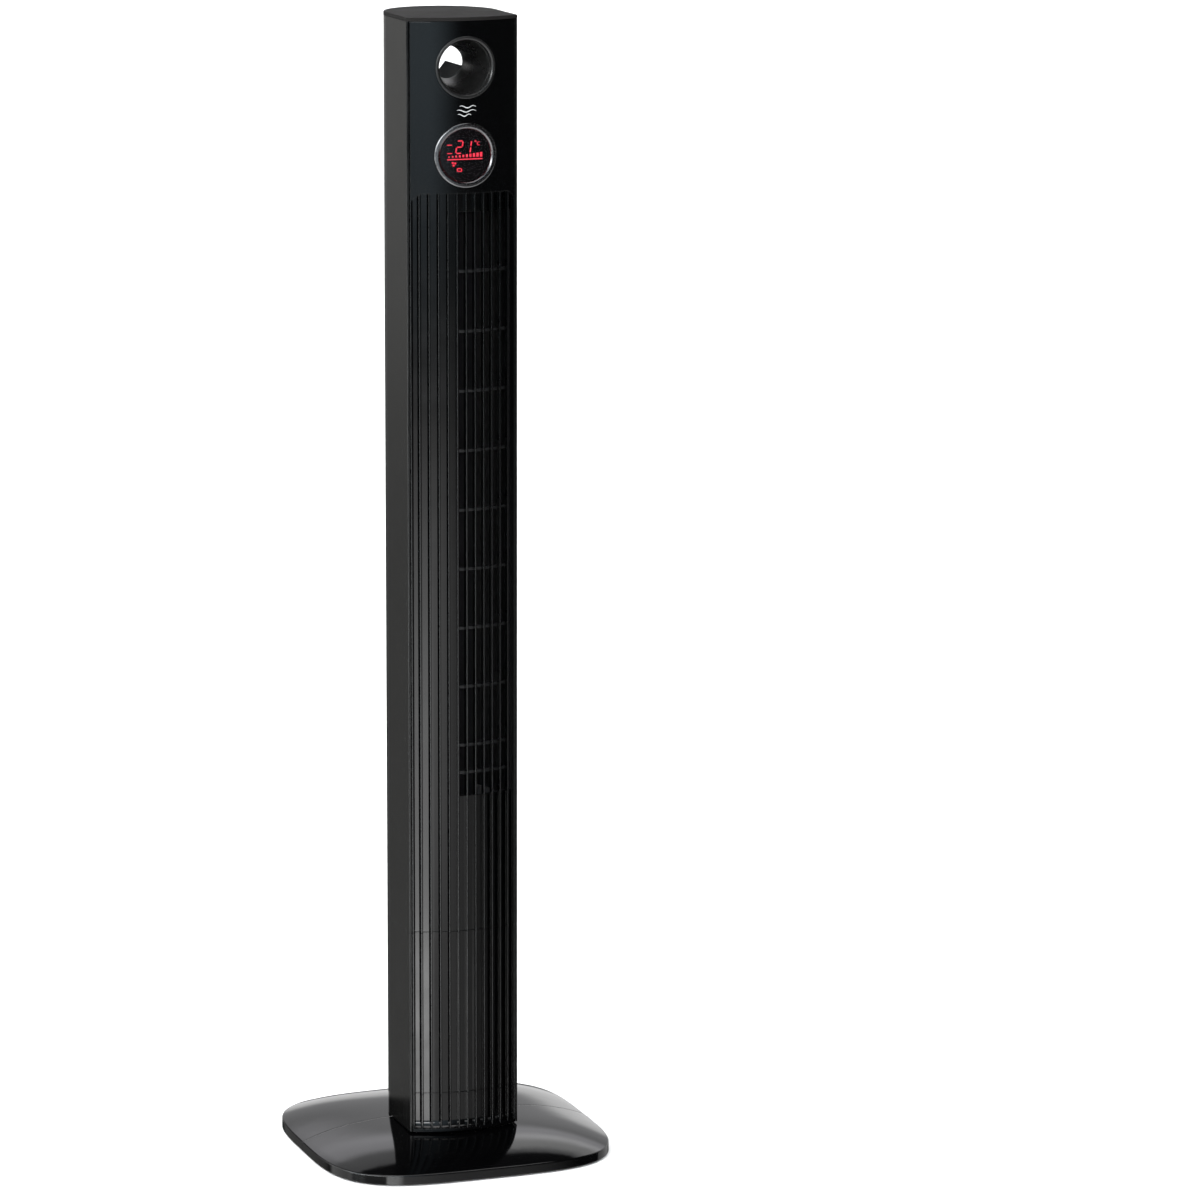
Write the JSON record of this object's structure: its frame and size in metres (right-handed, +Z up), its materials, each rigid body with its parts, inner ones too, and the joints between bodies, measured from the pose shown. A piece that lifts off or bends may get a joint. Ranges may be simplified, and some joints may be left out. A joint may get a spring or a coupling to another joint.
{
  "type": "tower fan",
  "caption": "Slim black floor-standing tower fan with a finned front, side-set air outlet, round display, hand opening in the head and a domed square base.",
  "frame": {"origin": "centre of the base on the floor, on the axis the tower turns about", "axes": "+Z up along the tower, -Y out of the front grille, +X to the right when facing the front from in front"},
  "size_m": [0.3111, 0.311, 1.18],
  "materials": {
    "base_gloss": "high gloss black",
    "front_gloss": "high gloss black",
    "side_satin": "fine satin black",
    "cap_matte": "fine matte texture",
    "guard_black": "matte",
    "impeller_black": "satin",
    "funnel_satin": "soft gloss",
    "ring_metal": "black chrome",
    "smoked_lens": "smoked and polished",
    "lit_red": "lit",
    "board_green": "solder mask",
    "component_black": "moulded",
    "component_cream": "moulded",
    "gear_white": "acetal",
    "structure_grey": "moulded, unpainted",
    "rubber_foot": "matte",
    "zinc_steel": "zinc plated",
    "ground_steel": "ground",
    "black_screw": "black oxide",
    "motor_shield": "cast",
    "motor_core": "varnished laminations",
    "bronze": "sintered",
    "wire_sleeve": "sleeved bundle"
  },
  "bodies": {
    "base": {"base_front_half": "base_gloss", "base_rear_half": "base_gloss", "base_feet": "rubber_foot", "cord_grommet": "rubber_foot", "swivel_plate": "structure_grey", "swivel_screws": "zinc_steel", "pivot_tube": "zinc_steel", "pivot_glide_ring": "gear_white", "pivot_retainer": "gear_white", "oscillation_ring_gear": "gear_white", "pivot_clip": "zinc_steel"},
    "tower": {"oscillation_motor": "zinc_steel", "oscillation_bracket": "structure_grey", "oscillation_screws": "zinc_steel", "column_foot": "structure_grey", "front_skirt": "front_gloss", "lower_front_panel": "front_gloss", "lower_rear_shell": "side_satin", "upper_rear_shell": "side_satin", "head_back_cover": "side_satin", "shell_screws": "black_screw", "joining_sleeve": "structure_grey", "power_board": "board_green", "power_board_parts": "component_black", "run_capacitor": "component_cream", "rear_intake_grille": "side_satin", "front_grille_panel": "front_gloss", "outlet_guard": "guard_black", "duct_bottom_plate": "structure_grey", "duct_top_plate": "structure_grey", "air_scroll": "guard_black", "vortex_tongue": "guard_black", "motor_end_shields": "motor_shield", "motor_stator": "motor_core", "motor_bracket": "zinc_steel", "top_bearing": "bronze", "top_bearing_cap": "structure_grey", "control_panel": "front_gloss", "handle_trim_ring": "funnel_satin", "handle_funnel": "funnel_satin", "rear_hand_duct": "guard_black", "top_cap": "cap_matte", "display_bezel": "ring_metal", "display_lens": "smoked_lens", "display_segments": "lit_red", "display_module": "component_black", "display_board": "board_green", "display_plugs": "component_black", "control_board": "board_green", "wiring_loom": "wire_sleeve"},
    "impeller": {"impeller": "impeller_black", "impeller_shaft": "ground_steel", "motor_shaft": "ground_steel"},
    "pinion": {"oscillation_pinion": "gear_white"}
  },
  "joints": [
    {"name": "oscillation", "type": "hinge", "parent": "base", "child": "tower", "pos_m": [0, 0, 0.0308], "axis": [0, 0, 1], "range_deg": [-35, 35]},
    {"name": "impeller_spin", "type": "hinge", "parent": "tower", "child": "impeller", "pos_m": [-0.006, -0.004, 0.38], "axis": [0, 0, 1], "continuous": true},
    {"name": "pinion_spin", "type": "hinge", "parent": "tower", "child": "pinion", "pos_m": [0, -0.0391, 0.049], "axis": [0, 0, 1], "range_deg": [-118, 118]}
  ],
  "couplings": [
    {"joint": "pinion_spin", "follows": "oscillation", "ratio": 3.3333}
  ]
}
